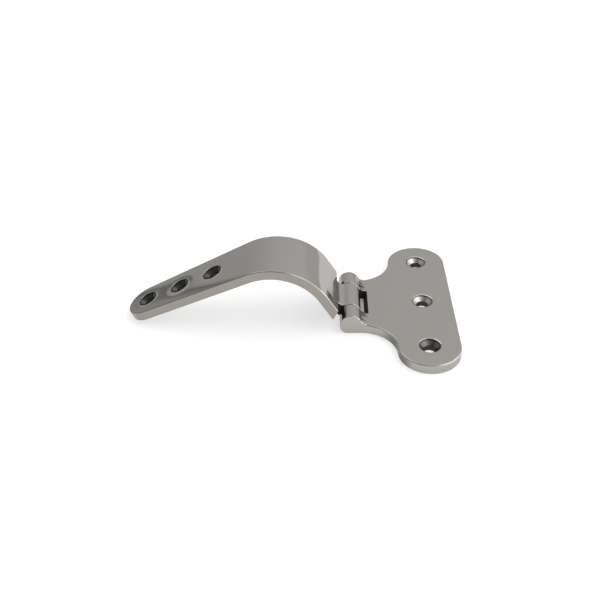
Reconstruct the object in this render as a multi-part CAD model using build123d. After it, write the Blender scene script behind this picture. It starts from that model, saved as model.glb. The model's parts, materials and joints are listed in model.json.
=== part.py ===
from build123d import *
import os
from math import acos, asin, atan2, cos, degrees, hypot, radians, sin, sqrt

os.makedirs("parts", exist_ok=True)

# Bent strap hinge: a tee leaf that screws down flat, and a long strap leaf with a large bend.
# Millimetres and degrees. The origin is the middle screw hole of the tee leaf, on its mounting face.
# X runs along the hinge from the strap to the tee, Y runs along the pin, and Z is up.

# Tee leaf
tee_thickness = 5.0
bar_width = 30.0
bar_screw_pitch = 36.0
neck_width = 39.0
flare_radius = 17.5
pin_offset = 36.8
root_radius = 5.0
heel_radius = 3.8

# Knuckles and pin
knuckle_diameter = 10.6
slot_length = 19.2
slot_radius = 9.1
side_clearance = 0.25
pin_diameter = 5.0
running_clearance = 0.05

# Strap leaf, measured with its straight run level and the pin axis as zero
strap_thickness = 5.0
bend_radius = 31.6
bend_angle = 83.0
bend_standoff = 3.7
bend_height = 14.1
run_length = 68.0
strap_root_width = 35.4
tip_radius = 11.0
root_cut_distance = 8.6
root_cut_angle = 50.0
web_radius = 3.0
tip_screw_distance = 11.0
strap_screw_pitch = 18.8

# Countersunk screw holes, the same in both leaves
screw_hole_diameter = 5.5
countersink_diameter = 10.4
countersink_angle = 90.0

# Polished edges
edge_radius = 0.5
hole_edge_radius = 0.2
split_edge_radius = 0.3

# Two lengths this close are the same length when an edge is looked up
match_tolerance = 0.001

# What follows from the sizes above
knuckle_radius = knuckle_diameter / 2
pin_x = -pin_offset
pin_z = knuckle_radius
middle_knuckle_length = slot_length - 2 * side_clearance
strap_top = bend_height + bend_radius
strap_underside = strap_top - strap_thickness
tip_x = bend_standoff + bend_radius + run_length
bar_screws = [(0, place * bar_screw_pitch) for place in (-1, 0, 1)]
strap_screws = [(tip_x - tip_screw_distance - place * strap_screw_pitch, 0) for place in (0, 1, 2)]


def lay_down_angle():
    """Slope of the straight run when the rounded lower edge of the tip touches the mounting plane."""
    along = tip_x - edge_radius
    above = strap_underside + edge_radius
    return degrees(atan2(above, along) + asin((pin_z - edge_radius) / hypot(along, above)))


def cut_screw_holes(leaf, places, top, thickness):
    """Cut countersunk holes down from the top face, and round the rim of each."""
    rim_radius = countersink_diameter / 2
    hole = CounterSinkHole(screw_hole_diameter / 2, rim_radius, thickness, countersink_angle)
    for x, y in places:
        leaf -= Pos(x, y, top) * hole
    circles = leaf.edges().filter_by(GeomType.CIRCLE)
    rims = circles.filter_by(lambda edge: abs(edge.radius - rim_radius) < match_tolerance)
    return fillet(rims, hole_edge_radius)


def round_split(leaf, split_y, depth_of, corner_depth):
    """Round the edges on the two faces of a knuckle split, apart from its inner corner.

    depth_of measures a point's depth into the split, and the inner corner lies at corner_depth.
    """
    def is_outer(edge):
        points = [edge @ 0, edge @ 0.5, edge @ 1]
        on_face = all(abs(abs(point.Y) - split_y) < match_tolerance for point in points)
        return on_face and abs(depth_of(edge @ 0.5) - corner_depth) > match_tolerance

    return fillet(leaf.edges().filter_by(is_outer), split_edge_radius)


def tee_plan():
    """Plan of the tee leaf: a bar with round ends, and a neck that flares out into the bar."""
    end_radius = bar_width / 2
    neck_y = neck_width / 2
    flare_y = neck_y + flare_radius
    rise = max(flare_y - bar_screw_pitch, 0)
    reach = end_radius + flare_radius
    flare_x = -sqrt(reach**2 - rise**2)
    turn = degrees(asin(rise / reach))
    neck_end = pin_x - knuckle_diameter
    with BuildSketch() as plan:
        with BuildLine():
            Line((end_radius, 0), (end_radius, bar_screw_pitch))
            CenterArc((0, bar_screw_pitch), end_radius, 0, 180 - turn)
            if flare_y < bar_screw_pitch:
                Line((-end_radius, bar_screw_pitch), (-end_radius, flare_y))
            CenterArc((flare_x, flare_y), flare_radius, -turn, turn - 90)
            Line((flare_x, neck_y), (neck_end, neck_y))
            Line((neck_end, neck_y), (neck_end, 0))
            mirror(about=Plane.XZ)
        make_face()
    return plan.sketch


def tee_side():
    """Side view of the tee leaf: the plate, rising through a concave root into the knuckle."""
    bar_edge = bar_width / 2
    root_z = tee_thickness + root_radius
    drop = root_z - pin_z
    root_x = pin_x + sqrt((knuckle_radius + root_radius) ** 2 - drop**2)
    turn = degrees(atan2(drop, root_x - pin_x))
    back = pin_x - knuckle_radius
    with BuildSketch(Plane.XZ) as side:
        with BuildLine():
            Line((bar_edge, 0), (bar_edge, tee_thickness))
            Line((bar_edge, tee_thickness), (root_x, tee_thickness))
            CenterArc((root_x, root_z), root_radius, 270, turn - 90)
            CenterArc((pin_x, pin_z), knuckle_radius, turn, 180 - turn)
            Line((back, pin_z), (back, heel_radius))
            CenterArc((back + heel_radius, heel_radius), heel_radius, 180, 90)
            Line((back + heel_radius, 0), (bar_edge, 0))
        make_face()
    return side.sketch


def from_pin(point):
    """Distance of a point on the tee leaf from the pin axis."""
    return hypot(point.X - pin_x, point.Z - pin_z)


def make_tee_leaf():
    """The tee leaf: plan and side view intersected, then slotted, bored and countersunk."""
    height = tee_thickness + knuckle_diameter
    half_length = bar_screw_pitch + bar_width
    leaf = extrude(tee_plan(), height)
    leaf &= Pos(0, half_length, 0) * extrude(tee_side(), 2 * half_length)
    outline = leaf.edges().filter_by(Axis.Y).sort_by(Axis.X)[-2:]
    leaf = fillet(outline, edge_radius)
    pin_axis = Pos(pin_x, 0, pin_z) * Rot(90, 0, 0)
    leaf -= pin_axis * Cylinder(slot_radius, slot_length)
    leaf = round_split(leaf, slot_length / 2, from_pin, slot_radius)
    leaf -= pin_axis * Cylinder(pin_diameter / 2, neck_width)
    return cut_screw_holes(leaf, bar_screws, tee_thickness, tee_thickness)


def strap_side():
    """Side view of the strap leaf: knuckle, web, leg, bend and straight run, the pin axis as origin."""
    bend_x = bend_standoff + bend_radius
    inner_radius = bend_radius - strap_thickness
    leg = Vector(-cos(radians(bend_angle)), -sin(radians(bend_angle)))
    outward = Vector(-sin(radians(bend_angle)), cos(radians(bend_angle)))
    bend_center = Vector(bend_x, bend_height)
    leg_outer = bend_center + outward * bend_radius
    leg_inner = bend_center + outward * inner_radius

    # The web leaves the outer face of the leg in a concave arc that meets the knuckle
    across = web_radius + leg_outer.dot(outward)
    along = sqrt((knuckle_radius + web_radius) ** 2 - across**2)
    web_center = outward * across - leg * along
    web_start = web_center - outward * web_radius
    knuckle_start = degrees(atan2(web_center.Y, web_center.X))
    leg_turn = 90 + bend_angle - 180
    web_turn = knuckle_start - 180 - leg_turn

    # The inner face ends at the root cut, and a straight flank runs from there to the knuckle
    cut_normal = Vector(cos(radians(root_cut_angle)), sin(radians(root_cut_angle)))
    step = (root_cut_distance - leg_inner.dot(cut_normal)) / leg.dot(cut_normal)
    inner_corner = leg_inner + leg * step
    corner_angle = degrees(atan2(inner_corner.Y, inner_corner.X))
    flank_angle = corner_angle - degrees(acos(knuckle_radius / inner_corner.length))

    with BuildSketch(Plane.XZ) as side:
        with BuildLine():
            Line((tip_x, strap_underside), (tip_x, strap_top))
            Line((tip_x, strap_top), (bend_x, strap_top))
            CenterArc((bend_x, bend_height), bend_radius, 90, bend_angle)
            Line((leg_outer.X, leg_outer.Y), (web_start.X, web_start.Y))
            CenterArc((web_center.X, web_center.Y), web_radius, leg_turn, web_turn)
            knuckle = CenterArc((0, 0), knuckle_radius, knuckle_start, 360 + flank_angle - knuckle_start)
            Line(knuckle @ 1, (inner_corner.X, inner_corner.Y))
            Line((inner_corner.X, inner_corner.Y), (leg_inner.X, leg_inner.Y))
            CenterArc((bend_x, bend_height), inner_radius, 90 + bend_angle, -bend_angle)
            Line((bend_x, strap_underside), (tip_x, strap_underside))
        make_face()
    return side.sketch


def strap_plan():
    """Plan of the strap leaf: straight tapering sides that run tangent into a full round tip."""
    root_y = strap_root_width / 2
    center_x = tip_x - tip_radius
    run = bend_standoff - center_x
    tangent = degrees(atan2(root_y, run) - acos(tip_radius / hypot(run, root_y)))
    touch_x = center_x + tip_radius * cos(radians(tangent))
    touch_y = tip_radius * sin(radians(tangent))
    with BuildSketch() as plan:
        with BuildLine():
            Line((-knuckle_diameter, root_y), (bend_standoff, root_y))
            Line((bend_standoff, root_y), (touch_x, touch_y))
            CenterArc((center_x, 0), tip_radius, tangent, -2 * tangent)
            Line((touch_x, -touch_y), (bend_standoff, -root_y))
            Line((bend_standoff, -root_y), (-knuckle_diameter, -root_y))
            Line((-knuckle_diameter, -root_y), (-knuckle_diameter, root_y))
        make_face()
    return plan.sketch


def along_cut(point):
    """Distance of a point on the level strap leaf from the pin axis, square to the root cut."""
    return point.X * cos(radians(root_cut_angle)) + point.Z * sin(radians(root_cut_angle))


def make_strap_leaf():
    """The strap leaf in its own frame, then laid down so that its tip rests on the mounting plane."""
    height = strap_top + knuckle_diameter
    notch_x = root_cut_distance - height / 2
    notch_y = (middle_knuckle_length + strap_root_width) / 2
    leaf = Pos(0, 0, -knuckle_diameter) * extrude(strap_plan(), height)
    leaf &= Pos(0, strap_root_width, 0) * extrude(strap_side(), 2 * strap_root_width)
    for y in (-notch_y, notch_y):
        notch = Pos(notch_x, 0, 0) * Box(height, strap_root_width, height)
        leaf -= Pos(0, y, 0) * Rot(0, -root_cut_angle, 0) * notch
    tip_edges = leaf.edges().sort_by(Axis.X)[-2:]
    leaf = fillet(tip_edges, edge_radius)
    leaf = round_split(leaf, middle_knuckle_length / 2, along_cut, root_cut_distance)
    leaf -= Rot(90, 0, 0) * Cylinder(pin_diameter / 2 + running_clearance, strap_root_width)
    leaf = cut_screw_holes(leaf, strap_screws, strap_top, strap_thickness)
    return Pos(pin_x, 0, pin_z) * Rot(0, -lay_down_angle(), 0) * Rot(0, 0, 180) * leaf


def make_hinge_pin():
    """The pin, pressed into the outer knuckles and polished off flush with them."""
    return Pos(pin_x, 0, pin_z) * Rot(90, 0, 0) * Cylinder(pin_diameter / 2, neck_width)


def save(name, part):
    """Write one piece to its STEP file."""
    part.label = name
    export_step(part, f"parts/{name}.step")


save("tee_leaf", make_tee_leaf())
save("strap_leaf", make_strap_leaf())
save("hinge_pin", make_hinge_pin())
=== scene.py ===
"""Looks for a bent strap hinge: mirror-polished steel, seen in a light tent on a pale floor.

The solids arrive as a fixed frame. Each one keeps its own mesh and gets a node material here.
Lengths in the settings are metres and angles are radians, as Blender stores them.
"""
import json
from math import cos, pi, radians, sin

import bpy
import numpy as np
from bpy.props import FloatProperty, FloatVectorProperty, IntProperty, PointerProperty
from bpy.types import Operator, Panel, PropertyGroup
from mathutils import Matrix, Vector


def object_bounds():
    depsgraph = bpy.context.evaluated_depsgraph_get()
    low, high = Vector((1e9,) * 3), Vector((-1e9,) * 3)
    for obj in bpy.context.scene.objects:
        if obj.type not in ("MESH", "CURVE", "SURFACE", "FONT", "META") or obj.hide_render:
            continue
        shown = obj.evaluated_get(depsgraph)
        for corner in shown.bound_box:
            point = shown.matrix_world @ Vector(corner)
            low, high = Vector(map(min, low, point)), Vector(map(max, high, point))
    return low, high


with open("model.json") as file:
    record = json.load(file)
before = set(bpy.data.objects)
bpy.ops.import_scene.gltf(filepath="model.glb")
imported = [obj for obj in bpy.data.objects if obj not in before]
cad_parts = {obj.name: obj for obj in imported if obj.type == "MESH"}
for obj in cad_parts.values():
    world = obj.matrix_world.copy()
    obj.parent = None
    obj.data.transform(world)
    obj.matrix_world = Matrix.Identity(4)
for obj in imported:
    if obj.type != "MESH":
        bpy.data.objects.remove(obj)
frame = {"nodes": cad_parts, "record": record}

bl_info = {
    "name": "Bent Strap Hinge",
    "version": (1, 0, 0),
    "blender": (4, 5, 0),
    "location": "3D View > Sidebar > Hinge",
    "description": "Polishes a bent strap hinge and sets it in a light tent",
    "category": "Object",
}

CAD_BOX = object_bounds()
MILLIMETRE = 0.001

TEE_LEAF = "tee_leaf"
STRAP_LEAF = "strap_leaf"
HINGE_PIN = "hinge_pin"

# The middle of the pin, and the strap's straight run: out of its face, and from the pin to its tip
RECORD = frame["record"]
MOUNTS = {mount["name"]: mount for mount in RECORD["mounts"]}
PIN_PLACE = Vector(RECORD["behaviour"]["joints"][0]["pos_m"])
RUN_NORMAL = Vector(MOUNTS["strap_middle_screw"]["axis"])
RUN_ALONG = Vector((-RUN_NORMAL.z, 0.0, RUN_NORMAL.x))
STRAP_SCREWS = ("strap_tip_screw", "strap_middle_screw", "strap_bend_screw")

# Kinds of group sockets, and the ones that finishes hand on to each other
NUMBER = "NodeSocketFloat"
COLOUR = "NodeSocketColor"
VECTOR = "NodeSocketVector"
LOOK = {"Base Color": COLOUR, "Roughness": NUMBER}
HEIGHT = {"Height": NUMBER}

# Spacing of the nodes in the node editor
COLUMN_WIDTH = 220
ROW_HEIGHT = 260

WHITE = (1.0, 1.0, 1.0, 1.0)
# Steel mirrors a little less at grazing angles than an ideal metal of its colour
GRAZING_TINT = (0.75, 0.75, 0.75, 1.0)

# Detail and roughness of the noise textures
WAVE_NOISE = (1.0, 0.4)
HAIRLINE_NOISE = (3.0, 0.6)
SMEAR_NOISE = (4.0, 0.55)
STREAK_NOISE = (2.0, 0.5)
SMEARS_PER_METRE = 90.0

# Hairlines are drawn out along X, and the root's streaks away from the pin, by one over these
HAIRLINE_SQUEEZE = (0.04, 1.0, 1.0)
STREAK_SQUEEZE = 0.12

# Noise levels between which a streak goes from clean to dark with painted shade
STREAK_LEVELS = (0.47, 0.56)

# A face turns sideways, lying or turned away as its normal's part along Y, Z or -X passes these.
# Turned away, it gets painted shade.
SIDEWAYS_PARTS = (0.75, 0.90)
LYING_PARTS = (0.15, 0.40)
TURNED_SHADE_PARTS = (0.50, 0.95)

# Glow of the tent's cloth, as (turn in degrees from +Y towards +X, level): at its foot, at its
# shoulder and in its high band. The open side lies round -100 and the bright window round 105.
# A narrow dark seam hangs at -38.6, and its reflection is the dark band on the strap's tip.
TENT_FOOT = (
    (-180, 0.28), (-150, 0.14), (-120, 0.025), (-85, 0.02), (-60, 0.07), (-46, 0.125),
    (-39.5, 0.125), (-39.1, 0.015), (-38.1, 0.02), (-37.7, 0.145), (0, 0.187), (60, 0.18),
    (80, 0.80), (130, 0.80), (152, 0.30), (180, 0.28),
)
TENT_SHOULDER = (
    (-180, 0.11), (-150, 0.075), (-132, 0.02), (-95, 0.09), (-46, 0.13), (-39.5, 0.125),
    (-39.1, 0.015), (-38.1, 0.02), (-37.7, 0.145), (0, 0.19), (50, 0.215), (80, 0.42),
    (115, 0.42), (150, 0.19), (180, 0.11),
)
TENT_HIGH = (
    (-180, 0.11), (-150, 0.075), (-132, 0.02), (-95, 0.105), (-60, 0.42), (15, 0.42),
    (40, 0.20), (80, 0.68), (115, 0.68), (150, 0.19), (180, 0.11),
)

# Grids of the stage. The tent's last row stays this angle short of its pole, and one face closes it
FLOOR_ROWS = 9
TENT_ROWS = 33
TENT_COLUMNS = 96
POLE_GAP = 0.01

# Strength of the white surround as a light, and where it is seen
SURROUND_LIGHT = 0.6
SURROUND_SEEN = 1.0

# The camera sees nothing nearer than this
NEAR_CLIP = 0.01


# Node helpers

def add_node(tree, kind, inputs=None, **settings):
    """One node. Its inputs are given as values or as sockets to link."""
    node = tree.nodes.new(kind)
    for key, value in settings.items():
        setattr(node, key, value)
    for key, value in (inputs or {}).items():
        join(tree, value, node.inputs[key])
    return node


def join(tree, value, socket):
    """Links a socket to an input, or stores a plain value in it."""
    if isinstance(value, bpy.types.NodeSocket):
        tree.links.new(value, socket)
    else:
        socket.default_value = value


def math_node(tree, operation, *values, clamp=False):
    """A Math node whose inputs are numbers or sockets. Returns its output."""
    node = add_node(tree, "ShaderNodeMath", operation=operation, use_clamp=clamp)
    for socket, value in zip(node.inputs, values):
        join(tree, value, socket)
    return node.outputs["Value"]


def vector_node(tree, operation, *values):
    """A Vector Math node whose inputs are vectors or sockets. Returns its vector or its number."""
    node = add_node(tree, "ShaderNodeVectorMath", operation=operation)
    for socket, value in zip(node.inputs, values):
        join(tree, value, socket)
    measures = operation in {"DISTANCE", "DOT_PRODUCT", "LENGTH"}
    return node.outputs["Value" if measures else "Vector"]


def parts_node(tree, vector):
    """The parts of a vector, as outputs named X, Y and Z."""
    return add_node(tree, "ShaderNodeSeparateXYZ", {"Vector": vector}).outputs


def step_node(tree, value, low, high):
    """A smooth step from 0 at the low value to 1 at the high value. Returns its output."""
    inputs = {"Value": value, "From Min": low, "From Max": high}
    node = add_node(tree, "ShaderNodeMapRange", inputs, interpolation_type="SMOOTHSTEP")
    return node.outputs["Result"]


def blend_node(tree, share, first, second, kind="RGBA"):
    """Blends two colours, or two numbers when the kind is FLOAT, by a share. Returns the blend."""
    inputs = {"Factor": share, "A": first, "B": second}
    return add_node(tree, "ShaderNodeMix", inputs, data_type=kind).outputs["Result"]


def noise_node(tree, vector, scale, detail, roughness):
    """A noise texture. Returns its level, which lies round a half."""
    inputs = {"Vector": vector, "Scale": scale, "Detail": detail, "Roughness": roughness}
    return add_node(tree, "ShaderNodeTexNoise", inputs).outputs["Fac"]


def ramp_node(tree, value, stops):
    """A colour ramp from (position, colour) stops. Returns its colour output."""
    node = add_node(tree, "ShaderNodeValToRGB", {"Fac": value})
    elements = node.color_ramp.elements
    while len(elements) < len(stops):
        elements.new(0.5)
    for element, (position, colour) in zip(elements, stops):
        element.position = position
        element.color = colour
    return node.outputs["Color"]


def background_rays(tree):
    """1 for the camera, glossy and transmission rays that see the background, 0 for the rest."""
    path = add_node(tree, "ShaderNodeLightPath").outputs
    seen = math_node(tree, "ADD", path["Is Camera Ray"], path["Is Glossy Ray"])
    return math_node(tree, "ADD", seen, path["Is Transmission Ray"], clamp=True)


def arrange(tree):
    """Sets the nodes out in columns, each one left of all that it feeds."""
    steps = {node.name: 0 for node in tree.nodes}
    for _ in tree.nodes:
        for link in tree.links:
            source, fed = link.from_node.name, link.to_node.name
            steps[source] = max(steps[source], steps[fed] + 1)
    columns = {}
    for node in tree.nodes:
        step = steps[node.name]
        row = columns.get(step, 0)
        node.location = (-COLUMN_WIDTH * step, -ROW_HEIGHT * row)
        columns[step] = row + 1


def new_material(name):
    """An empty node material. Returns the material, its tree and its surface input."""
    material = bpy.data.materials.new(name)
    material.use_nodes = True
    tree = material.node_tree
    tree.nodes.clear()
    return material, tree, add_node(tree, "ShaderNodeOutputMaterial").inputs["Surface"]


# What the shared effects measure at the shaded point

def axis_distance(tree, given, coords):
    """Distance from the axis of a hole."""
    away = vector_node(tree, "SUBTRACT", coords["Object"], given["Centre"])
    along = vector_node(tree, "DOT_PRODUCT", away, given["Axis"])
    scaled = {"Vector": given["Axis"], "Scale": along}
    straight = add_node(tree, "ShaderNodeVectorMath", scaled, operation="SCALE")
    beside = vector_node(tree, "SUBTRACT", away, straight.outputs["Vector"])
    return vector_node(tree, "LENGTH", beside)


def pin_offset(tree, given, coords):
    """The way there from the middle of the pin, whole and in its parts."""
    away = vector_node(tree, "SUBTRACT", coords["Object"], given["Pin place"])
    return away, parts_node(tree, away)


def pin_distance(tree, away):
    """Distance from the pin's axis, which runs along Y."""
    flat = vector_node(tree, "MULTIPLY", away, (1.0, 0.0, 1.0))
    return vector_node(tree, "LENGTH", flat)


# Shared effects. Each one takes in the look so far, and hands it on changed.

def cover(tree, given, result, share, colour, roughness):
    """Blends the look so far towards another colour and roughness by a share."""
    tint = blend_node(tree, share, given["Base Color"], colour)
    rough = blend_node(tree, share, given["Roughness"], roughness, kind="FLOAT")
    join(tree, tint, result["Base Color"])
    join(tree, rough, result["Roughness"])


def fill_polish(tree, given, result, coords):
    """Broad noise gives the mop's waves. Fine noise, drawn out along X, gives its hairlines."""
    point = coords["Object"]
    squeezed = {"Vector": point, "Scale": HAIRLINE_SQUEEZE}
    drawn = add_node(tree, "ShaderNodeMapping", squeezed).outputs["Vector"]
    waves = noise_node(tree, point, given["Waves per metre"], *WAVE_NOISE)
    hairs = noise_node(tree, drawn, given["Hairlines per metre"], *HAIRLINE_NOISE)
    smears = noise_node(tree, point, SMEARS_PER_METRE, *SMEAR_NOISE)
    tint = blend_node(tree, hairs, given["Steel colour"], given["Hairline colour"])
    spread = math_node(tree, "MULTIPLY", smears, given["Haze variation"])
    wave = math_node(tree, "MULTIPLY", waves, given["Wave height"])
    hair = math_node(tree, "MULTIPLY", hairs, given["Hairline depth"])
    join(tree, tint, result["Base Color"])
    join(tree, math_node(tree, "ADD", spread, given["Haze"]), result["Roughness"])
    join(tree, math_node(tree, "ADD", wave, hair), result["Height"])


def fill_sides_and_shade(tree, given, result, coords):
    """Upright faces are ground, not mopped: pale towards -Y and +Y, and darker with painted shade
    towards -X.
    """
    normal = parts_node(tree, coords["Normal"])
    sideways = step_node(tree, math_node(tree, "ABSOLUTE", normal["Y"]), *SIDEWAYS_PARTS)
    lying = step_node(tree, math_node(tree, "ABSOLUTE", normal["Z"]), *LYING_PARTS)
    turned = step_node(tree, math_node(tree, "MULTIPLY", normal["X"], -1.0), *TURNED_SHADE_PARTS)
    # Faces turned towards -X and not lying get the turned colour: painted shade
    upright = math_node(tree, "SUBTRACT", turned, lying, clamp=True)
    ground = math_node(tree, "MAXIMUM", sideways, upright)
    pale = blend_node(tree, sideways, given["Base Color"], given["Side colour"])
    tint = blend_node(tree, upright, pale, given["Turned shade colour"])
    rough = blend_node(tree, ground, given["Roughness"], given["Side roughness"], kind="FLOAT")
    join(tree, tint, result["Base Color"])
    join(tree, rough, result["Roughness"])


def fill_hole(tree, given, result, coords):
    """Inside its rim a hole is unpolished and satin. Its cone gets a painted light and shade
    colour, its bore and the ring under its rim painted shade.
    """
    radius = axis_distance(tree, given, coords)
    bore, rim = given["Bore radius"], given["Rim radius"]
    faded = math_node(tree, "ADD", bore, given["Bore fade"])
    lip = math_node(tree, "SUBTRACT", rim, given["Lip width"])
    open_share = step_node(tree, radius, bore, faded)
    lip_share = step_node(tree, radius, lip, rim)
    # Painted shade in the bore and in the ring under the rim; the cone's colour is painted light
    # and shade, set per hole
    walls = blend_node(tree, open_share, given["Bore shade colour"], given["Cone light and shade colour"])
    inner = blend_node(tree, lip_share, walls, given["Lip shade colour"])
    inside = math_node(tree, "LESS_THAN", radius, rim)
    cover(tree, given, result, inside, inner, given["Hole roughness"])


def fill_slot(tree, given, result, coords):
    """The slot's walls are unpolished and darkened with painted shade: all that is within its
    radius of the pin and its length.
    """
    away, parts = pin_offset(tree, given, coords)
    near = math_node(tree, "LESS_THAN", pin_distance(tree, away), given["Slot radius"])
    aside = math_node(tree, "ABSOLUTE", parts["Y"])
    between = math_node(tree, "LESS_THAN", aside, given["Half length"])
    inside = math_node(tree, "MULTIPLY", near, between)
    cover(tree, given, result, inside, given["Deep shade colour"], given["Deep roughness"])


def fill_notch(tree, given, result, coords):
    """The notches are unpolished and darkened with painted shade: past the ends of the middle
    knuckle, and within their cut.
    """
    away, parts = pin_offset(tree, given, coords)
    depth = vector_node(tree, "DOT_PRODUCT", away, given["Cut direction"])
    near = math_node(tree, "LESS_THAN", depth, given["Cut distance"])
    aside = math_node(tree, "ABSOLUTE", parts["Y"])
    past = math_node(tree, "GREATER_THAN", aside, given["Half length"])
    inside = math_node(tree, "MULTIPLY", near, past)
    cover(tree, given, result, inside, given["Deep shade colour"], given["Deep roughness"])


def fill_dish(tree, given, result, coords):
    """The face steps up smoothly outwards, over the rounding of a rim and the dish round it."""
    radius = axis_distance(tree, given, coords)
    inner = given["Inner radius"]
    brim = math_node(tree, "ADD", inner, given["Rim width"])
    dish_share = step_node(tree, radius, inner, given["Outer radius"])
    rim_share = step_node(tree, radius, inner, brim)
    dish = math_node(tree, "MULTIPLY", dish_share, given["Depth"])
    rounding = math_node(tree, "MULTIPLY", rim_share, given["Rim depth"])
    rise = math_node(tree, "ADD", dish, rounding)
    join(tree, math_node(tree, "ADD", rise, given["Height"]), result["Height"])


def fill_roll_off(tree, given, result, coords):
    """The face falls in a band along its tapering edges, by the square of the way across it."""
    away, parts = pin_offset(tree, given, coords)
    along = vector_node(tree, "DOT_PRODUCT", away, given["Along"])
    narrowing = math_node(tree, "MULTIPLY", along, given["Taper"])
    edge = math_node(tree, "SUBTRACT", given["Half width"], narrowing)
    inset = math_node(tree, "SUBTRACT", edge, math_node(tree, "ABSOLUTE", parts["Y"]))
    inward = math_node(tree, "DIVIDE", inset, given["Band"], clamp=True)
    outward = math_node(tree, "SUBTRACT", 1.0, inward)
    square = math_node(tree, "MULTIPLY", outward, outward)
    fall = math_node(tree, "MULTIPLY", square, given["Depth"])
    join(tree, math_node(tree, "SUBTRACT", given["Height"], fall), result["Height"])


def fill_root_shade_streaks(tree, given, result, coords):
    """Dark streaks of painted shade cross the hollow root. It dims with more painted shade by the
    slot's -Y end.
    """
    away, parts = pin_offset(tree, given, coords)
    radius = pin_distance(tree, away)
    drawn = math_node(tree, "MULTIPLY", radius, STREAK_SQUEEZE)
    spot = add_node(tree, "ShaderNodeCombineXYZ", {"X": drawn, "Y": parts["Y"]})
    level = noise_node(tree, spot.outputs["Vector"], given["Streaks per metre"], *STREAK_NOISE)
    streaks = step_node(tree, level, *STREAK_LEVELS)
    from_end = math_node(tree, "ADD", parts["Y"], given["Half length"])
    off_end = math_node(tree, "ABSOLUTE", from_end)
    bright = step_node(tree, off_end, 0.0, given["End shade width"])
    # The streaks and the dim place by the slot's end are painted shade
    painted_shade = math_node(tree, "MAXIMUM", streaks, math_node(tree, "SUBTRACT", 1.0, bright))
    start = step_node(tree, radius, given["Inner radius"], given["Full radius"])
    stop = step_node(tree, radius, given["Full radius"], given["Outer radius"])
    hollow = math_node(tree, "SUBTRACT", start, stop, clamp=True)
    share = math_node(tree, "MULTIPLY", hollow, painted_shade)
    tint = blend_node(tree, share, given["Base Color"], given["Streak shade colour"])
    join(tree, tint, result["Base Color"])
    join(tree, given["Roughness"], result["Roughness"])


def shared_group(name, inputs, outputs, fill):
    """The node group of that name. It is made and filled by the given function the first time."""
    group = bpy.data.node_groups.get(name)
    if group is None:
        group = bpy.data.node_groups.new(name, "ShaderNodeTree")
        for way, sockets in (("INPUT", inputs), ("OUTPUT", outputs)):
            for label, kind in sockets.items():
                group.interface.new_socket(name=label, in_out=way, socket_type=kind)
        given = add_node(group, "NodeGroupInput").outputs
        result = add_node(group, "NodeGroupOutput").inputs
        coords = add_node(group, "ShaderNodeTexCoord").outputs
        fill(group, given, result, coords)
        arrange(group)
    return group


def socket_kind(value):
    """The kind of group socket that takes a number, a colour or a vector."""
    if isinstance(value, float):
        return NUMBER
    return COLOUR if len(value) == 4 else VECTOR


def finish(name, takes, gives, fill, values):
    """One finish: its shared group, which takes and gives parts of the look, and its values."""
    kinds = {label: socket_kind(value) for label, value in values.items()}
    return shared_group(name, takes | kinds, gives, fill), values


def opaque(colour):
    """The colour with an alpha of 1, as colour sockets take it."""
    return (*colour, 1.0)


def mop_polish(steel):
    """The mirror polish, with its waves and hairlines. It starts the look."""
    return finish("Mop polish", {}, LOOK | HEIGHT, fill_polish, {
        "Steel colour": opaque(steel.colour),
        "Hairline colour": opaque(steel.colour_in_hairlines),
        "Haze": steel.haze,
        "Haze variation": steel.haze_variation,
        "Waves per metre": 1.0 / steel.wave_length,
        "Wave height": steel.wave_height,
        "Hairlines per metre": 1.0 / steel.hairline_width,
        "Hairline depth": steel.hairline_depth,
    })


def ground_sides_and_shade(steel, colour):
    """The duller side faces, with painted shade on those turned towards -X."""
    return finish("Ground sides and turned shade", LOOK, LOOK, fill_sides_and_shade, {
        "Side colour": opaque(colour),
        "Turned shade colour": opaque(steel.turned_shade_colour),
        "Side roughness": steel.side_roughness,
    })


def unpolished_shaded_hole(steel, centre, axis, cone_colour, bore_colour):
    """The inside of one screw hole, with painted light and shade."""
    return finish("Unpolished hole with painted light and shade", LOOK, LOOK, fill_hole, {
        "Centre": centre,
        "Axis": axis,
        "Bore radius": steel.bore_radius,
        "Bore fade": steel.bore_fade,
        "Rim radius": steel.rim_radius,
        "Lip width": steel.lip_width,
        "Cone light and shade colour": opaque(cone_colour),
        "Bore shade colour": opaque(bore_colour),
        "Lip shade colour": opaque(steel.lip_shade_colour),
        "Hole roughness": steel.hole_roughness,
    })


def unpolished_shaded_slot(steel):
    """The walls of the tee leaf's slot, with painted shade."""
    return finish("Unpolished slot with painted shade", LOOK, LOOK, fill_slot, {
        "Pin place": PIN_PLACE,
        "Slot radius": steel.slot_radius,
        "Half length": steel.slot_length / 2,
        "Deep shade colour": opaque(steel.deep_shade_colour),
        "Deep roughness": steel.deep_roughness,
    })


def unpolished_shaded_notch(steel):
    """The two notches of the strap leaf, with painted shade. Their cut is square to a direction
    away from the pin.
    """
    turn = steel.notch_angle
    return finish("Unpolished notch with painted shade", LOOK, LOOK, fill_notch, {
        "Pin place": PIN_PLACE,
        "Cut direction": cos(turn) * RUN_ALONG + sin(turn) * RUN_NORMAL,
        "Cut distance": steel.notch_distance,
        "Half length": steel.knuckle_length / 2,
        "Deep shade colour": opaque(steel.deep_shade_colour),
        "Deep roughness": steel.deep_roughness,
    })


def countersink_dish(steel, centre, axis, depth):
    """The dish round one countersink and the rounding of its rim."""
    return finish("Countersink dish", HEIGHT, HEIGHT, fill_dish, {
        "Centre": centre,
        "Axis": axis,
        "Inner radius": steel.rim_radius,
        "Outer radius": steel.dish_radius,
        "Depth": depth,
        "Rim width": steel.rim_width,
        "Rim depth": steel.rim_depth,
    })


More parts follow.
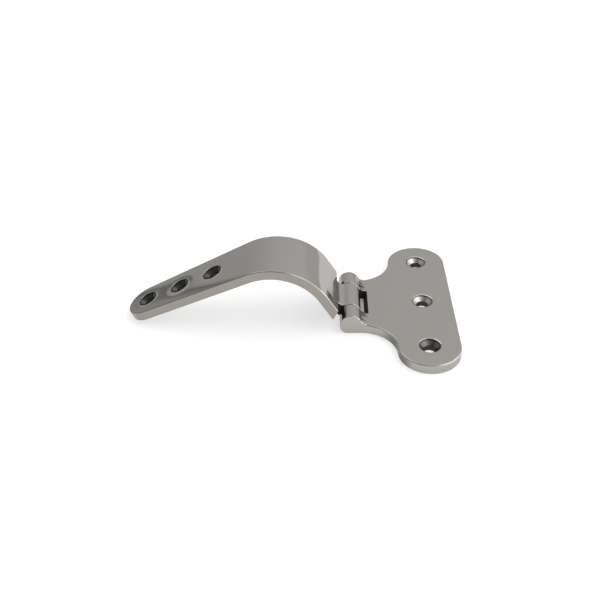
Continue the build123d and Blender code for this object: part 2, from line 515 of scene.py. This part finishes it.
def edge_roll_off(steel):
    """The rounding off of the strap's face towards its long edges."""
    return finish("Edge roll-off", HEIGHT, HEIGHT, fill_roll_off, {
        "Pin place": PIN_PLACE,
        "Along": RUN_ALONG,
        "Half width": steel.root_half_width,
        "Taper": steel.taper,
        "Band": steel.roll_off_band,
        "Depth": steel.roll_off_depth,
    })


def root_shade_streaks(steel):
    """The dark streaks of painted shade in the hollow root of the tee leaf's knuckles."""
    inner, full, outer = steel.streak_radii
    return finish("Root shade streaks", LOOK, LOOK, fill_root_shade_streaks, {
        "Pin place": PIN_PLACE,
        "Inner radius": inner,
        "Full radius": full,
        "Outer radius": outer,
        "Streaks per metre": 1.0 / steel.streak_width,
        "Half length": steel.slot_length / 2,
        "End shade width": steel.end_shade_width,
        "Streak shade colour": opaque(steel.streak_shade_colour),
    })


# Materials

def polished_steel(name, finishes):
    """Polished steel. Each finish takes in what the ones before it have made of the look."""
    material, tree, surface = new_material(name)
    look = {}
    for group, values in finishes:
        node = add_node(tree, "ShaderNodeGroup", node_tree=group)
        taken = {label: socket for label, socket in look.items() if label in node.inputs}
        for label, value in (taken | values).items():
            join(tree, value, node.inputs[label])
        look |= {socket.name: socket for socket in node.outputs}
    bump = add_node(tree, "ShaderNodeBump", {"Distance": 1.0, "Height": look["Height"]})
    shader = add_node(tree, "ShaderNodeBsdfPrincipled", {
        "Base Color": look["Base Color"],
        "Metallic": 1.0,
        "Roughness": look["Roughness"],
        "Specular Tint": GRAZING_TINT,
        "Normal": bump.outputs["Normal"],
    })
    join(tree, shader.outputs["BSDF"], surface)
    arrange(tree)
    return material


def floor_material(studio):
    """Pale paper. It keeps its shadow, and rays that see the background get it nearly white.

    It is topped up less in a round place under the slot, which the slot lets through: a painted
    shadow.
    """
    material, tree, surface = new_material("Pale paper floor")
    paper = add_node(tree, "ShaderNodeBsdfDiffuse", {"Color": opaque(studio.floor_colour)})
    point = add_node(tree, "ShaderNodeTexCoord").outputs["Object"]
    under = Vector((PIN_PLACE.x + studio.slot_offset, PIN_PLACE.y, 0.0))
    away = vector_node(tree, "DISTANCE", point, under)
    # Less white in the round place under the slot: a painted shadow
    open_share = step_node(tree, away, studio.slot_shade_from, studio.slot_shade_to)
    share = blend_node(tree, open_share, studio.slot_shadow_top_up, studio.floor_top_up, kind="FLOAT")
    top_up = math_node(tree, "MULTIPLY", background_rays(tree), share)
    glow = add_node(tree, "ShaderNodeEmission", {"Color": WHITE, "Strength": top_up})
    both = add_node(tree, "ShaderNodeAddShader")
    join(tree, paper.outputs["BSDF"], both.inputs[0])
    join(tree, glow.outputs["Emission"], both.inputs[1])
    join(tree, both.outputs["Shader"], surface)
    arrange(tree)
    return material


def tent_stops(levels):
    """Colour ramp stops from the turns and grey levels round the tent."""
    return [((turn + 180) / 360, opaque((grey, grey, grey))) for turn, grey in levels]


def tent_material(studio):
    """Lit tent cloth. Up from the floor come its foot, shoulder, high band and dark crown."""
    material, tree, surface = new_material("Light tent cloth")
    point = add_node(tree, "ShaderNodeTexCoord").outputs["Object"]
    aim = parts_node(tree, vector_node(tree, "NORMALIZE", point))
    around = math_node(tree, "ARCTAN2", aim["X"], aim["Y"])
    whole_turn = {"Value": around, "From Min": -pi, "From Max": pi}
    turn = add_node(tree, "ShaderNodeMapRange", whole_turn).outputs["Result"]
    foot, shoulder, high = (
        ramp_node(tree, turn, tent_stops(levels))
        for levels in (TENT_FOOT, TENT_SHOULDER, TENT_HIGH))
    cloth = foot
    for start, end, above in (
            (studio.shoulder_from, studio.shoulder_to, shoulder),
            (studio.high_from, studio.high_to, high),
            (studio.crown_from, studio.crown_to, opaque(studio.crown_colour))):
        share = step_node(tree, aim["Z"], sin(start), sin(end))
        cloth = blend_node(tree, share, cloth, above)
    glow = {"Color": cloth, "Strength": studio.tent_strength}
    join(tree, add_node(tree, "ShaderNodeEmission", glow).outputs["Emission"], surface)
    arrange(tree)
    return material


# Objects, and surfaces worked out as whole arrays

def add_object(name, data):
    """An object of that name in the scene."""
    thing = bpy.data.objects.new(name, data)
    bpy.context.scene.collection.objects.link(thing)
    return thing


def grid_faces(rows, columns, wrapped):
    """Quads of a rows by columns grid of points, joined round the columns when wrapped."""
    across = columns if wrapped else columns - 1
    row, column = np.meshgrid(np.arange(rows - 1), np.arange(across), indexing="ij")
    beside = (column + 1) % columns
    near, far = row * columns, (row + 1) * columns
    corners = (near + column, near + beside, far + beside, far + column)
    return np.stack(corners, axis=-1).reshape(-1, 4)


def surface_object(name, points, wrapped=False):
    """A mesh object from a (rows, columns, 3) array. A wrapped one is smooth and closed on top."""
    rows, columns = points.shape[:2]
    faces = grid_faces(rows, columns, wrapped).tolist()
    if wrapped:
        faces.append(list(range((rows - 1) * columns, rows * columns)))
    mesh = bpy.data.meshes.new(name)
    mesh.from_pydata(points.reshape(-1, 3).tolist(), [], faces)
    if wrapped:
        mesh.shade_smooth()
    return add_object(name, mesh)


def floor_points(side):
    """A square of points on z = 0: x and y each run evenly from minus to plus half the side."""
    run = np.linspace(-side / 2, side / 2, FLOOR_ROWS)
    y, x = np.meshgrid(run, run, indexing="ij")
    return np.stack((x, y, np.zeros_like(x)), axis=-1)


def tent_points(radius):
    """A dome: at height angle h and turn t, the radius times (cos h sin t, cos h cos t, sin h)."""
    height = np.linspace(0.0, pi / 2 - POLE_GAP, TENT_ROWS)[:, None]
    turn = np.linspace(0.0, 2 * pi, TENT_COLUMNS, endpoint=False)[None, :]
    x = np.cos(height) * np.sin(turn)
    y = np.cos(height) * np.cos(turn)
    z = np.sin(height) * np.ones_like(turn)
    return radius * np.stack((x, y, z), axis=-1)


# Settings

class HingeSteel(PropertyGroup):
    colour: FloatVectorProperty(
        name="Steel colour",
        description="Colour of the polished steel where it mirrors a white surface",
        subtype="COLOR", size=3, min=0.0, max=1.0, default=(0.430, 0.412, 0.390))
    colour_in_hairlines: FloatVectorProperty(
        name="Hairline colour",
        description="Colour of the steel along the fine polishing lines",
        subtype="COLOR", size=3, min=0.0, max=1.0, default=(0.410, 0.394, 0.374))
    tee_side_colour: FloatVectorProperty(
        name="Tee side colour",
        description="Colour of the ground side faces of the tee leaf and the pin",
        subtype="COLOR", size=3, min=0.0, max=1.0, default=(0.385, 0.368, 0.340))
    strap_side_colour: FloatVectorProperty(
        name="Strap side colour",
        description="Colour of the strap leaf's ground side faces",
        subtype="COLOR", size=3, min=0.0, max=1.0, default=(0.310, 0.290, 0.264))
    # Painted shade on the side faces turned towards -X, the strap's tip
    turned_shade_colour: FloatVectorProperty(
        name="Turned shade colour",
        description="Colour of the ground side faces that look towards the strap's tip",
        subtype="COLOR", size=3, min=0.0, max=1.0, default=(0.17, 0.165, 0.155))
    side_roughness: FloatProperty(
        name="Side roughness",
        description="Roughness of the ground side faces",
        subtype="FACTOR", min=0.0, max=1.0, default=0.22)
    # Painted light on the tee's middle and far countersinks, painted shade on its near one and in
    # the strap's
    tee_cone_light_colour: FloatVectorProperty(
        name="Tee cone light colour",
        description="Colour of the tee leaf's middle and far countersinks",
        subtype="COLOR", size=3, min=0.0, max=1.0, default=(0.56, 0.545, 0.515))
    near_cone_shade_colour: FloatVectorProperty(
        name="Near cone shade colour",
        description="Colour of the tee leaf's countersink nearest the camera",
        subtype="COLOR", size=3, min=0.0, max=1.0, default=(0.17, 0.164, 0.153))
    strap_cone_shade_colour: FloatVectorProperty(
        name="Strap cone shade colour",
        description="Colour of the countersinks in the strap leaf",
        subtype="COLOR", size=3, min=0.0, max=1.0, default=(0.10, 0.10, 0.098))
    # Painted shade in the slot's walls and the notches
    deep_shade_colour: FloatVectorProperty(
        name="Deep shade colour",
        description="Colour of the slot walls and notches",
        subtype="COLOR", size=3, min=0.0, max=1.0, default=(0.080, 0.080, 0.082))
    deep_roughness: FloatProperty(
        name="Deep roughness",
        description="Roughness of the slot walls and notches",
        subtype="FACTOR", min=0.0, max=1.0, default=0.90)
    # Painted shade in the ring under a rim
    lip_shade_colour: FloatVectorProperty(
        name="Lip shade colour",
        description="Colour of the dark ring just under a rim",
        subtype="COLOR", size=3, min=0.0, max=1.0, default=(0.012, 0.012, 0.013))
    # Painted shade in the bores
    tee_bore_shade_colour: FloatVectorProperty(
        name="Tee bore shade colour",
        description="Colour of the bores of the tee leaf's screw holes",
        subtype="COLOR", size=3, min=0.0, max=1.0, default=(0.045, 0.044, 0.041))
    strap_bore_shade_colour: FloatVectorProperty(
        name="Strap bore shade colour",
        description="Colour of the bores of the strap leaf's screw holes",
        subtype="COLOR", size=3, min=0.0, max=1.0, default=(0.036, 0.035, 0.033))
    hole_roughness: FloatProperty(
        name="Hole roughness",
        description="Roughness of the inside of the screw holes",
        subtype="FACTOR", min=0.0, max=1.0, default=0.30)
    bore_radius: FloatProperty(
        name="Bore radius",
        description="Radius where a countersink meets its bore",
        unit="LENGTH", min=0.0005, default=0.00275)
    bore_fade: FloatProperty(
        name="Bore fade",
        description="Width of the fade from the dark bore to the cone",
        unit="LENGTH", min=0.0001, default=0.0004)
    rim_radius: FloatProperty(
        name="Rim radius",
        description="Radius of a countersink at its polished rim",
        unit="LENGTH", min=0.001, default=0.00515)
    lip_width: FloatProperty(
        name="Lip width",
        description="Width of the dark ring just under a rim",
        unit="LENGTH", min=0.00005, default=0.0008)
    slot_radius: FloatProperty(
        name="Slot radius",
        description="Radius of the tee leaf's slot round the pin",
        unit="LENGTH", min=0.001, default=0.00912)
    slot_length: FloatProperty(
        name="Slot length",
        description="Length of the tee leaf's slot along the pin",
        unit="LENGTH", min=0.001, default=0.01922)
    notch_angle: FloatProperty(
        name="Notch angle",
        description="Turn of the strap leaf's notches from its straight run",
        subtype="ANGLE", default=radians(50))
    notch_distance: FloatProperty(
        name="Notch distance",
        description="Distance from the pin to the face of a notch",
        unit="LENGTH", min=0.001, default=0.00862)
    knuckle_length: FloatProperty(
        name="Knuckle length",
        description="Length of the strap leaf's knuckle between its ends",
        unit="LENGTH", min=0.001, default=0.01868)
    haze: FloatProperty(
        name="Haze",
        description="Least roughness of the polish",
        subtype="FACTOR", min=0.0, max=1.0, default=0.05)
    haze_variation: FloatProperty(
        name="Haze variation",
        description="How much smears add to the roughness",
        subtype="FACTOR", min=0.0, max=1.0, default=0.06)
    wave_length: FloatProperty(
        name="Wave length",
        description="Distance between the broad waves that the mop leaves",
        unit="LENGTH", min=0.001, default=0.030)
    wave_height: FloatProperty(
        name="Wave height",
        description="Height of the broad waves",
        unit="LENGTH", min=0.0, default=0.00025)
    hairline_width: FloatProperty(
        name="Hairline width",
        description="Distance between the fine polishing lines",
        unit="LENGTH", min=0.0001, default=0.0008)
    hairline_depth: FloatProperty(
        name="Hairline depth",
        description="Depth of the fine polishing lines",
        unit="LENGTH", min=0.0, default=0.0000004)
    dish_radius: FloatProperty(
        name="Dish radius",
        description="Outer radius of the dish round a countersink",
        unit="LENGTH", min=0.001, default=0.0082)
    strap_dish_depths: FloatVectorProperty(
        name="Strap dish depths",
        description="Depths of the dishes in the strap leaf, from the tip to the bend",
        unit="LENGTH", size=3, min=0.0, default=(0.00004, 0.00010, 0.00002))
    tee_dish_depth: FloatProperty(
        name="Tee dish depth",
        description="Depth of the dish round a countersink in the tee leaf",
        unit="LENGTH", min=0.0, default=0.00002)
    rim_width: FloatProperty(
        name="Rim width",
        description="Width of the rounding at the rim of a countersink",
        unit="LENGTH", min=0.0001, default=0.0008)
    rim_depth: FloatProperty(
        name="Rim depth",
        description="How much the face falls in the rounding at a rim",
        unit="LENGTH", min=0.0, default=0.00018)
    root_half_width: FloatProperty(
        name="Root half width",
        description="Half width of the strap leaf abreast of the pin",
        unit="LENGTH", min=0.001, default=0.01798)
    taper: FloatProperty(
        name="Taper",
        description="How much the half width shrinks per metre of strap, in metres",
        min=0.0, max=1.0, default=0.0753)
    roll_off_band: FloatProperty(
        name="Roll-off band",
        description="Width of the band where the strap's face rounds off",
        unit="LENGTH", min=0.0001, default=0.0070)
    roll_off_depth: FloatProperty(
        name="Roll-off depth",
        description="How much the strap's face falls towards its edges",
        unit="LENGTH", min=0.0, default=0.00018)
    streak_radii: FloatVectorProperty(
        name="Streak radii",
        description="Distances from the pin where the root's streaks start, are full and end",
        unit="LENGTH", size=3, default=(0.0053, 0.0058, 0.0094))
    streak_width: FloatProperty(
        name="Streak width",
        description="Distance between the root's streaks",
        unit="LENGTH", min=0.0001, default=0.0016)
    # Painted shade beside the slot's -Y end
    end_shade_width: FloatProperty(
        name="End shade width",
        description="How far the root stays dim beside the slot",
        unit="LENGTH", min=0.0001, default=0.0060)
    # Painted shade in the root's streaks
    streak_shade_colour: FloatVectorProperty(
        name="Streak shade colour",
        description="Colour of the root's streaks",
        subtype="COLOR", size=3, min=0.0, max=1.0, default=(0.035, 0.035, 0.037))


class HingeStudio(PropertyGroup):
    floor_side: FloatProperty(
        name="Floor side",
        description="Length and width of the pale floor",
        unit="LENGTH", min=0.5, default=6.0)
    floor_colour: FloatVectorProperty(
        name="Floor colour",
        description="Colour of the paper on the floor",
        subtype="COLOR", size=3, min=0.0, max=1.0, default=(0.50, 0.50, 0.50))
    floor_top_up: FloatProperty(
        name="Floor top-up",
        description="Share of white added to the floor where it is seen as background",
        subtype="FACTOR", min=0.0, max=1.0, default=0.60)
    # Painted shadow: the floor under the slot gets less white
    slot_shadow_top_up: FloatProperty(
        name="Slot shadow top-up",
        description="Share of white added to the floor under the tee leaf's slot",
        subtype="FACTOR", min=0.0, max=1.0, default=0.11)
    slot_offset: FloatProperty(
        name="Slot offset",
        description="Distance from the pin to the middle of the shaded floor",
        unit="LENGTH", default=0.0072)
    slot_shade_from: FloatProperty(
        name="Slot shade from",
        description="Radius where the shaded floor starts to turn lighter",
        unit="LENGTH", min=0.0, default=0.0100)
    slot_shade_to: FloatProperty(
        name="Slot shade to",
        description="Radius where the shaded floor has turned lighter",
        unit="LENGTH", min=0.001, default=0.0118)
    tent_radius: FloatProperty(
        name="Tent radius",
        description="Radius of the light tent",
        unit="LENGTH", min=0.6, default=1.6)
    tent_strength: FloatProperty(
        name="Tent strength",
        description="Brightness of the tent where its cloth is white",
        min=0.0, default=4.0)
    shoulder_from: FloatProperty(
        name="Shoulder from",
        description="Height angle where the tent's foot starts to turn into its shoulder",
        subtype="ANGLE", default=radians(14.5))
    shoulder_to: FloatProperty(
        name="Shoulder to",
        description="Height angle where the tent's shoulder has its full glow",
        subtype="ANGLE", default=radians(20))
    high_from: FloatProperty(
        name="High band from",
        description="Height angle where the tent's shoulder starts to turn into its high band",
        subtype="ANGLE", default=radians(42))
    high_to: FloatProperty(
        name="High band to",
        description="Height angle where the tent's high band has its full glow",
        subtype="ANGLE", default=radians(48))
    crown_from: FloatProperty(
        name="Crown from",
        description="Height angle where the tent starts to turn to its dark crown",
        subtype="ANGLE", default=radians(68))
    crown_to: FloatProperty(
        name="Crown to",
        description="Height angle where the tent's crown is fully dark",
        subtype="ANGLE", default=radians(78))
    crown_colour: FloatVectorProperty(
        name="Crown colour",
        description="Glow of the tent's crown",
        subtype="COLOR", size=3, min=0.0, max=1.0, default=(0.035, 0.035, 0.035))
    overhead_side: FloatProperty(
        name="Overhead lamp side",
        description="Length and width of the lamp over the floor",
        unit="LENGTH", min=0.01, default=1.2)
    overhead_height: FloatProperty(
        name="Overhead lamp height",
        description="Height of the lamp over the floor",
        unit="LENGTH", min=0.2, default=1.3)
    overhead_power: FloatProperty(
        name="Overhead lamp power",
        description="Power of the lamp over the floor",
        unit="POWER", min=0.0, default=3.5)


class HingeCamera(PropertyGroup):
    target: FloatVectorProperty(
        name="Target",
        description="Point that the camera looks at",
        subtype="TRANSLATION", unit="LENGTH", size=3, default=(-0.062165, 0.002462, 0.005))
    distance: FloatProperty(
        name="Distance",
        description="Distance from the camera to its target",
        unit="LENGTH", min=0.05, default=0.4266)
    turn: FloatProperty(
        name="Turn",
        description="Turn of the camera round the hinge, from -Y towards +X",
        subtype="ANGLE", default=radians(2.20))
    height: FloatProperty(
        name="Height",
        description="Angle of the camera above the floor",
        subtype="ANGLE", default=radians(35.61))
    roll: FloatProperty(
        name="Roll",
        description="Tilt of the camera about its line of sight",
        subtype="ANGLE", default=radians(-2.107))
    focal_pixels: FloatProperty(
        name="Focal length in pixels",
        description="Focal length, as pixels of a square picture",
        subtype="PIXEL", min=50.0, default=832.05)
    picture_side: IntProperty(
        name="Picture side",
        description="Width and height of the picture",
        subtype="PIXEL", min=16, default=600)


# Operators

def paint(node, material):
    """Puts the material in every slot of a solid."""
    solid = frame["nodes"][node]
    if not solid.material_slots:
        solid.data.materials.append(material)
    for slot in solid.material_slots:
        slot.material = material


class HINGE_OT_polish_tee(Operator):
    """Polish the tee leaf, with a dish round each of its countersinks"""
    bl_idname = "hinge.polish_tee"
    bl_label = "Polish tee leaf"

    def execute(self, context):
        steel = context.scene.hinge_steel
        middle = MOUNTS["tee_middle_screw"]
        upright = Vector(middle["axis"])
        reach = MOUNTS["tee_outer_screws"]["dims"]["spacing_y_mm"] / 2 * MILLIMETRE
        finishes = [mop_polish(steel), root_shade_streaks(steel)]
        finishes += [ground_sides_and_shade(steel, steel.tee_side_colour), unpolished_shaded_slot(steel)]
        # The near countersink gets a painted shade colour, the middle and far ones a painted light
        # colour
        near, other = steel.near_cone_shade_colour, steel.tee_cone_light_colour
        for y, cone in ((-reach, near), (0.0, other), (reach, other)):
            centre = Vector(middle["pos_m"]) + Vector((0.0, y, 0.0))
            finishes.append(countersink_dish(steel, centre, upright, steel.tee_dish_depth))
            finishes.append(unpolished_shaded_hole(steel, centre, upright, cone, steel.tee_bore_shade_colour))
        paint(TEE_LEAF, polished_steel("Polished tee steel", finishes))
        return {"FINISHED"}


class HINGE_OT_polish_strap(Operator):
    """Polish the strap leaf, with a dish round each of its countersinks"""
    bl_idname = "hinge.polish_strap"
    bl_label = "Polish strap leaf"

    def execute(self, context):
        steel = context.scene.hinge_steel
        # Painted shade colours for the strap's countersinks and bores
        cone, bore = steel.strap_cone_shade_colour, steel.strap_bore_shade_colour
        finishes = [mop_polish(steel), ground_sides_and_shade(steel, steel.strap_side_colour)]
        finishes += [unpolished_shaded_notch(steel), edge_roll_off(steel)]
        for screw, depth in zip(STRAP_SCREWS, steel.strap_dish_depths):
            centre = Vector(MOUNTS[screw]["pos_m"])
            finishes.append(countersink_dish(steel, centre, RUN_NORMAL, depth))
            finishes.append(unpolished_shaded_hole(steel, centre, RUN_NORMAL, cone, bore))
        paint(STRAP_LEAF, polished_steel("Polished strap steel", finishes))
        return {"FINISHED"}


class HINGE_OT_polish_pin(Operator):
    """Polish the hinge pin"""
    bl_idname = "hinge.polish_pin"
    bl_label = "Polish hinge pin"

    def execute(self, context):
        steel = context.scene.hinge_steel
        finishes = [mop_polish(steel), ground_sides_and_shade(steel, steel.tee_side_colour)]
        paint(HINGE_PIN, polished_steel("Polished pin steel", finishes))
        return {"FINISHED"}


class HINGE_OT_build_stage(Operator):
    """Lay the floor, put up the light tent, hang the lamp and set the background"""
    bl_idname = "hinge.build_stage"
    bl_label = "Build stage"

    def execute(self, context):
        studio = context.scene.hinge_studio
        floor = surface_object("pale_floor", floor_points(studio.floor_side))
        floor.data.materials.append(floor_material(studio))
        tent = surface_object("light_tent", tent_points(studio.tent_radius), wrapped=True)
        tent.data.materials.append(tent_material(studio))
        tent.visible_camera = False

        lamp = bpy.data.lights.new("overhead_lamp", "AREA")
        lamp.shape = "SQUARE"
        lamp.size = studio.overhead_side
        lamp.energy = studio.overhead_power
        hung = add_object("overhead_lamp", lamp)
        low, high = CAD_BOX
        hung.location = ((low[0] + high[0]) / 2, (low[1] + high[1]) / 2, studio.overhead_height)
        hung.visible_camera = False
        hung.visible_glossy = False

        world = bpy.data.worlds.new("White surround")
        world.use_nodes = True
        tree = world.node_tree
        tree.nodes.clear()
        level = {"Value": background_rays(tree), "To Min": SURROUND_LIGHT, "To Max": SURROUND_SEEN}
        strength = add_node(tree, "ShaderNodeMapRange", level).outputs["Result"]
        surround = add_node(tree, "ShaderNodeBackground", {"Color": WHITE, "Strength": strength})
        add_node(tree, "ShaderNodeOutputWorld", {"Surface": surround.outputs["Background"]})
        arrange(tree)
        context.scene.world = world
        context.scene.view_settings.view_transform = "Standard"
        return {"FINISHED"}


class HINGE_OT_place_camera(Operator):
    """Place the camera at the photograph's viewing angle"""
    bl_idname = "hinge.place_camera"
    bl_label = "Place camera"

    def execute(self, context):
        view = context.scene.hinge_camera
        turn, height, roll = view.turn, view.height, view.roll
        back = Vector((sin(turn) * cos(height), -cos(turn) * cos(height), sin(height)))
        level = Vector((cos(turn), sin(turn), 0.0))
        upright = back.cross(level)
        right = cos(roll) * level + sin(roll) * upright
        up = cos(roll) * upright - sin(roll) * level
        lens = bpy.data.cameras.new("photo_camera")
        lens.sensor_fit = "HORIZONTAL"
        lens.lens = view.focal_pixels * lens.sensor_width / view.picture_side
        lens.clip_start = NEAR_CLIP
        eye = add_object("photo_camera", lens)
        turned = Matrix((right, up, back)).transposed().to_4x4()
        place = Matrix.Translation(Vector(view.target) + view.distance * back)
        eye.matrix_world = place @ turned
        context.scene.camera = eye
        return {"FINISHED"}


class HINGE_PT_panel(Panel):
    bl_idname = "HINGE_PT_panel"
    bl_label = "Bent strap hinge"
    bl_space_type = "VIEW_3D"
    bl_region_type = "UI"
    bl_category = "Hinge"

    def draw(self, context):
        for operator in OPERATORS:
            self.layout.operator(operator.bl_idname)
        for name, _ in SETTINGS:
            group = getattr(context.scene, name)
            box = self.layout.box()
            for setting in group.__annotations__:
                box.prop(group, setting)


SETTINGS = (
    ("hinge_steel", HingeSteel),
    ("hinge_studio", HingeStudio),
    ("hinge_camera", HingeCamera),
)
OPERATORS = (
    HINGE_OT_polish_tee,
    HINGE_OT_polish_strap,
    HINGE_OT_polish_pin,
    HINGE_OT_build_stage,
    HINGE_OT_place_camera,
)


def register():
    """Registers the settings, the operators and the panel."""
    for name, group in SETTINGS:
        bpy.utils.register_class(group)
        setattr(bpy.types.Scene, name, PointerProperty(type=group))
    for operator in OPERATORS:
        bpy.utils.register_class(operator)
    bpy.utils.register_class(HINGE_PT_panel)


def unregister():
    """Takes the panel, the operators and the settings away again."""
    bpy.utils.unregister_class(HINGE_PT_panel)
    for operator in reversed(OPERATORS):
        bpy.utils.unregister_class(operator)
    for name, group in reversed(SETTINGS):
        delattr(bpy.types.Scene, name)
        bpy.utils.unregister_class(group)


def main():
    """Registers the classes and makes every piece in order."""
    register()
    bpy.ops.hinge.polish_tee()
    bpy.ops.hinge.polish_strap()
    bpy.ops.hinge.polish_pin()
    bpy.ops.hinge.build_stage()
    bpy.ops.hinge.place_camera()


if __name__ == "__main__":
    main()
